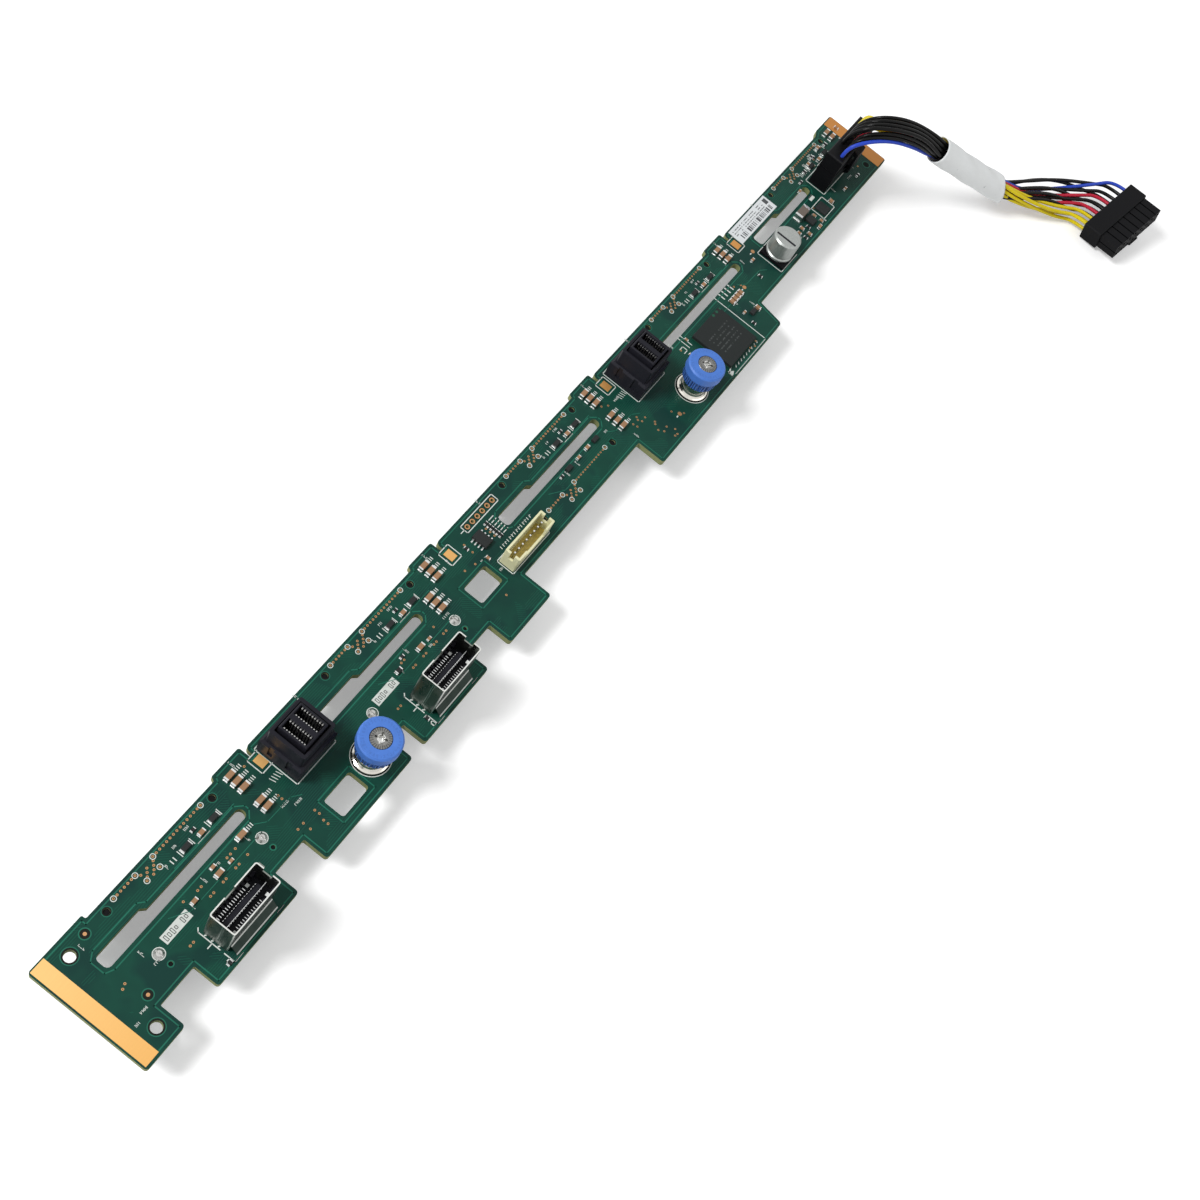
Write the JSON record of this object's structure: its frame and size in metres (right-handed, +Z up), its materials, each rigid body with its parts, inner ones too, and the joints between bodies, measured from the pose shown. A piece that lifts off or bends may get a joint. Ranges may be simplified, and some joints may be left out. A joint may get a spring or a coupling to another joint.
{
  "type": "drive backplane board",
  "caption": "Long narrow drive backplane board with drive connectors below, cable sockets and captive thumbscrews above, and a short power harness.",
  "frame": {"origin": "centre of the rigid board's footprint, at the level of the drive connectors' lower faces, on which the board rests", "axes": "+X along the board towards the power harness, +Y across it towards the edge with the narrow slits, +Z up from the drive connectors towards the cable sockets"},
  "size_m": [0.4935, 0.1251, 0.041],
  "materials": {
    "board": "green solder mask",
    "gold": "gold plated copper",
    "black_nylon": "moulded black nylon",
    "contact_gold": "gold plated contacts",
    "tinned_steel": "tin plated sheet",
    "cream_nylon": "moulded cream nylon",
    "nickel": "bright nickel plate",
    "blue_plastic": "moulded blue plastic",
    "steel": "steel",
    "can_aluminium": "drawn aluminium can",
    "chip_black": "moulded epoxy",
    "ceramic": "fired ceramic",
    "paper_white": "printed paper label",
    "wire_blue": "blue wire insulation",
    "wire_black": "black wire insulation",
    "wire_red": "red wire insulation",
    "wire_yellow": "yellow wire insulation",
    "sleeve_white": "white sleeve"
  },
  "bodies": {
    "board": {"circuit_board": "board", "gold_lands": "gold", "drive_connector_upper_a": "black_nylon", "drive_connector_upper_b": "black_nylon", "drive_connector_upper_c": "black_nylon", "drive_connector_upper_d": "black_nylon", "drive_connector_upper_e": "black_nylon", "drive_connector_lower_c": "black_nylon", "drive_connector_lower_a": "black_nylon", "drive_connector_lower_b": "black_nylon", "drive_connector_contacts": "contact_gold", "board_locks": "tinned_steel", "cable_cage_1": "tinned_steel", "cage_insert_1": "black_nylon", "cable_cage_2": "tinned_steel", "cage_insert_2": "black_nylon", "cage_contacts": "contact_gold", "dual_slot_housing_1": "black_nylon", "dual_slot_housing_2": "black_nylon", "dual_slot_contacts": "contact_gold", "sideband_header": "cream_nylon", "sideband_pins": "contact_gold", "power_header": "black_nylon", "power_pins": "contact_gold", "power_plug": "black_nylon", "screw_ferrule_1": "nickel", "screw_ferrule_2": "nickel", "capacitor_base": "black_nylon", "capacitor_can": "can_aluminium", "logic_chip": "chip_black", "chip_packages": "chip_black", "chip_leads": "tinned_steel", "ceramic_chips": "ceramic", "label_sticker": "paper_white", "wire_blue": "wire_blue", "wire_black_1": "wire_black", "wire_black_2": "wire_black", "wire_black_3": "wire_black", "wire_black_4": "wire_black", "wire_black_5": "wire_black", "wire_black_6": "wire_black", "wire_black_7": "wire_black", "wire_red_a": "wire_red", "wire_red_b": "wire_red", "wire_yellow_a": "wire_yellow", "wire_yellow_b": "wire_yellow", "wire_yellow_c": "wire_yellow", "wire_yellow_d": "wire_yellow", "wire_sleeve": "sleeve_white", "far_connector": "black_nylon", "far_terminals": "contact_gold"},
    "spring_1": {"lift_spring_1": "steel"},
    "spring_2": {"lift_spring_2": "steel"},
    "thumbscrew_1": {"thumb_knob_1": "blue_plastic", "captive_screw_1": "steel"},
    "thumbscrew_2": {"thumb_knob_2": "blue_plastic", "captive_screw_2": "steel"}
  },
  "joints": [
    {"name": "press_1", "type": "slide", "parent": "board", "child": "spring_1", "axis": [0, 0, -1], "range_m": [0, 0.0042], "stiffness_N_per_m": 400, "springref_m": -0.002, "deforming": ["lift_spring_1"]},
    {"name": "turn_1", "type": "hinge", "parent": "spring_1", "child": "thumbscrew_1", "pos_m": [-0.11015, -0.00955, 0.012], "axis": [0, 0, 1], "continuous": true},
    {"name": "press_2", "type": "slide", "parent": "board", "child": "spring_2", "axis": [0, 0, -1], "range_m": [0, 0.0042], "stiffness_N_per_m": 400, "springref_m": -0.002, "deforming": ["lift_spring_2"]},
    {"name": "turn_2", "type": "hinge", "parent": "spring_2", "child": "thumbscrew_2", "pos_m": [0.06105, -0.00965, 0.012], "axis": [0, 0, 1], "continuous": true}
  ]
}
